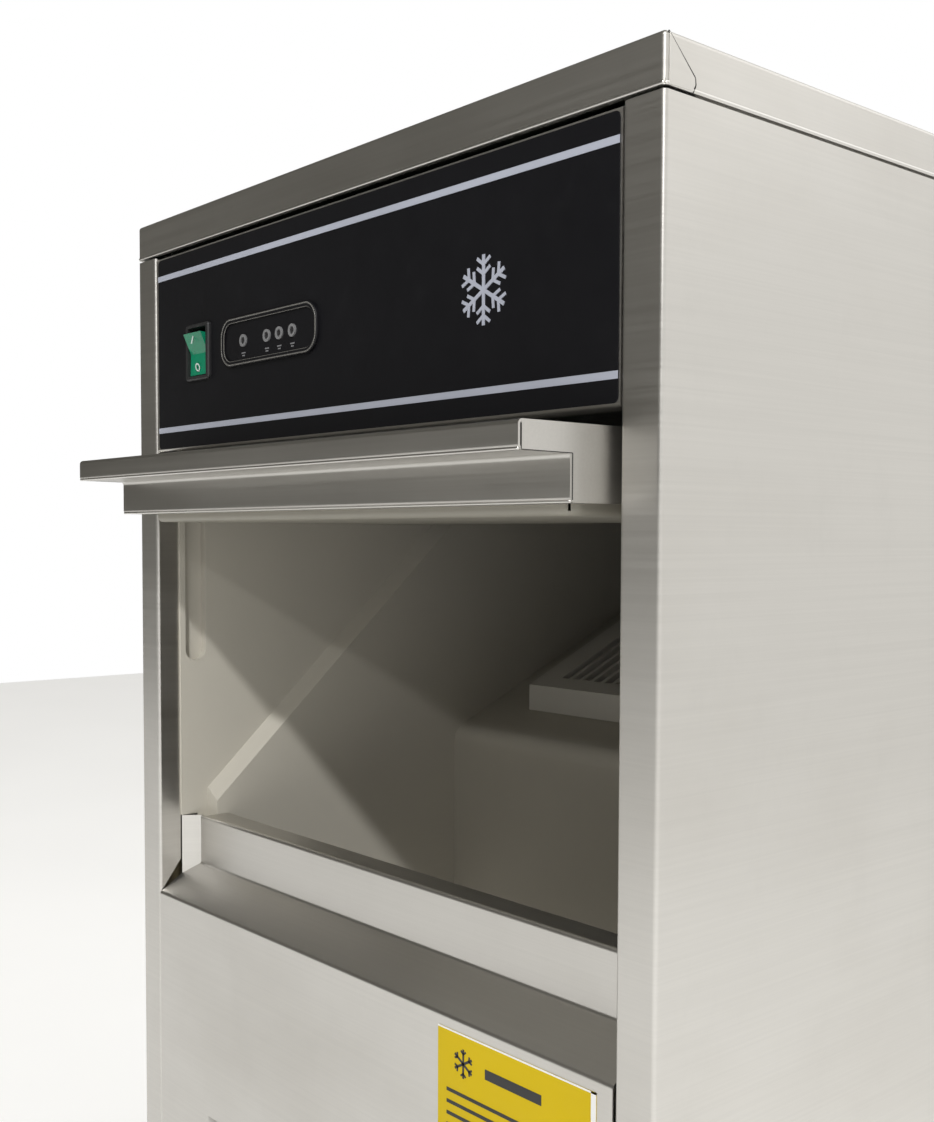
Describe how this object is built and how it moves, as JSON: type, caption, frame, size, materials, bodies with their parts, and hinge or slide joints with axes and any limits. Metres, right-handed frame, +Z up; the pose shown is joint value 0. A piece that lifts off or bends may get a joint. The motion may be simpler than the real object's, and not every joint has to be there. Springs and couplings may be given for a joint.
{
  "type": "under-counter ice maker",
  "caption": "Upright stainless ice maker: louvred base, ice bin behind a door that swings up and slides back, and a black control panel with a rocker switch.",
  "frame": {"origin": "middle of the bounding box's base, on the floor", "axes": "+X to the right seen from the front, +Y to the rear, +Z up; the front faces -Y"},
  "size_m": [0.4, 0.5904, 0.695],
  "materials": {
    "casing_steel": "satin",
    "galvanised_sheet": "satin",
    "zinc_hardware": "satin",
    "black_plastic": "satin",
    "black_fascia": "satin",
    "stripe_ink": "satin",
    "green_lens": "gloss",
    "grey_lens": "gloss",
    "board_green": "satin",
    "liner_plastic": "satin",
    "foam": "matte",
    "slide_plastic": "satin",
    "copper": "satin",
    "white_plastic": "satin",
    "clear_hose": "satin",
    "smoke_plastic": "satin",
    "brass_parts": "satin",
    "black_paint": "gloss",
    "rubber": "matte",
    "fin_aluminium": "satin",
    "motor_iron": "satin",
    "label_yellow": "satin"
  },
  "bodies": {
    "cabinet": {"top_lid": "casing_steel", "left_side_panel": "casing_steel", "right_side_panel": "casing_steel", "lower_front_panel": "casing_steel", "control_panel": "casing_steel", "rear_panel": "galvanised_sheet", "base_pan": "galvanised_sheet", "control_tray": "galvanised_sheet", "fan_shroud": "galvanised_sheet", "foot_nuts": "zinc_hardware", "casing_screws": "zinc_hardware", "panel_overlay": "black_fascia", "panel_stripes": "stripe_ink", "panel_emblem": "stripe_ink", "switch_bezel": "black_plastic", "indicator_bezel": "black_plastic", "indicator_lamps": "grey_lens", "control_board": "board_green", "bin_insulation": "foam", "bin_liner": "liner_plastic", "bin_level_probe": "copper", "ice_chute": "white_plastic", "water_tank": "white_plastic", "spray_bar": "white_plastic", "spray_pump": "black_plastic", "pump_hose": "clear_hose", "water_feed_hose": "clear_hose", "drain_hose": "clear_hose", "spray_hood": "smoke_plastic", "evaporator_plate": "copper", "evaporator_coil": "copper", "condenser_tubes": "copper", "refrigerant_pipes": "copper", "filter_drier": "copper", "hot_gas_valve": "brass_parts", "water_valve": "white_plastic", "drain_outlet": "black_plastic", "power_inlet": "black_plastic", "compressor": "black_paint", "relay_box": "black_plastic", "compressor_mounts": "rubber", "condenser_fins": "fin_aluminium", "fan_motor": "motor_iron", "care_label": "label_yellow"},
    "door_carriage": {"door_slide_shoes": "slide_plastic"},
    "door": {"door_outer_pan": "casing_steel", "door_inner_pan": "liner_plastic", "door_foam": "foam", "door_hinge_pins": "zinc_hardware", "door_guide_studs": "slide_plastic"},
    "power_switch": {"switch_rocker": "green_lens"},
    "condenser_fan": {"fan_blades": "black_plastic"},
    "curtain": {"chamber_curtain": "smoke_plastic"},
    "front_left_foot": {"foot_front_left": "black_plastic"},
    "front_right_foot": {"foot_front_right": "black_plastic"},
    "rear_left_foot": {"foot_rear_left": "black_plastic"},
    "rear_right_foot": {"foot_rear_right": "black_plastic"}
  },
  "joints": [
    {"name": "door_slide", "type": "slide", "parent": "cabinet", "child": "door_carriage", "axis": [0, -1, 0], "range_m": [0, 0.1349]},
    {"name": "door_swing", "type": "hinge", "parent": "door_carriage", "child": "door", "pos_m": [0, -0.08825, 0.5332], "axis": [1, 0, 0], "range_deg": [0, 90]},
    {"name": "switch_rock", "type": "hinge", "parent": "cabinet", "child": "power_switch", "pos_m": [-0.13, -0.24225, 0.6157], "axis": [1, 0, 0], "range_deg": [-22, 0]},
    {"name": "fan_spin", "type": "hinge", "parent": "cabinet", "child": "condenser_fan", "pos_m": [-0.06, -0.13075, 0.1132], "axis": [0, 1, 0], "continuous": true},
    {"name": "curtain_swing", "type": "hinge", "parent": "cabinet", "child": "curtain", "pos_m": [0, 0.07325, 0.5572], "axis": [-1, 0, 0], "range_deg": [0, 60]},
    {"name": "front_left_foot_height", "type": "slide", "parent": "cabinet", "child": "front_left_foot", "axis": [0, 0, -1], "range_m": [0, 0.02]},
    {"name": "front_right_foot_height", "type": "slide", "parent": "cabinet", "child": "front_right_foot", "axis": [0, 0, -1], "range_m": [0, 0.02]},
    {"name": "rear_left_foot_height", "type": "slide", "parent": "cabinet", "child": "rear_left_foot", "axis": [0, 0, -1], "range_m": [0, 0.02]},
    {"name": "rear_right_foot_height", "type": "slide", "parent": "cabinet", "child": "rear_right_foot", "axis": [0, 0, -1], "range_m": [0, 0.02]}
  ],
  "couplings": [
    {"joint": "door_slide", "follows": "door_swing", "m_per_rad": 0.085625}
  ]
}
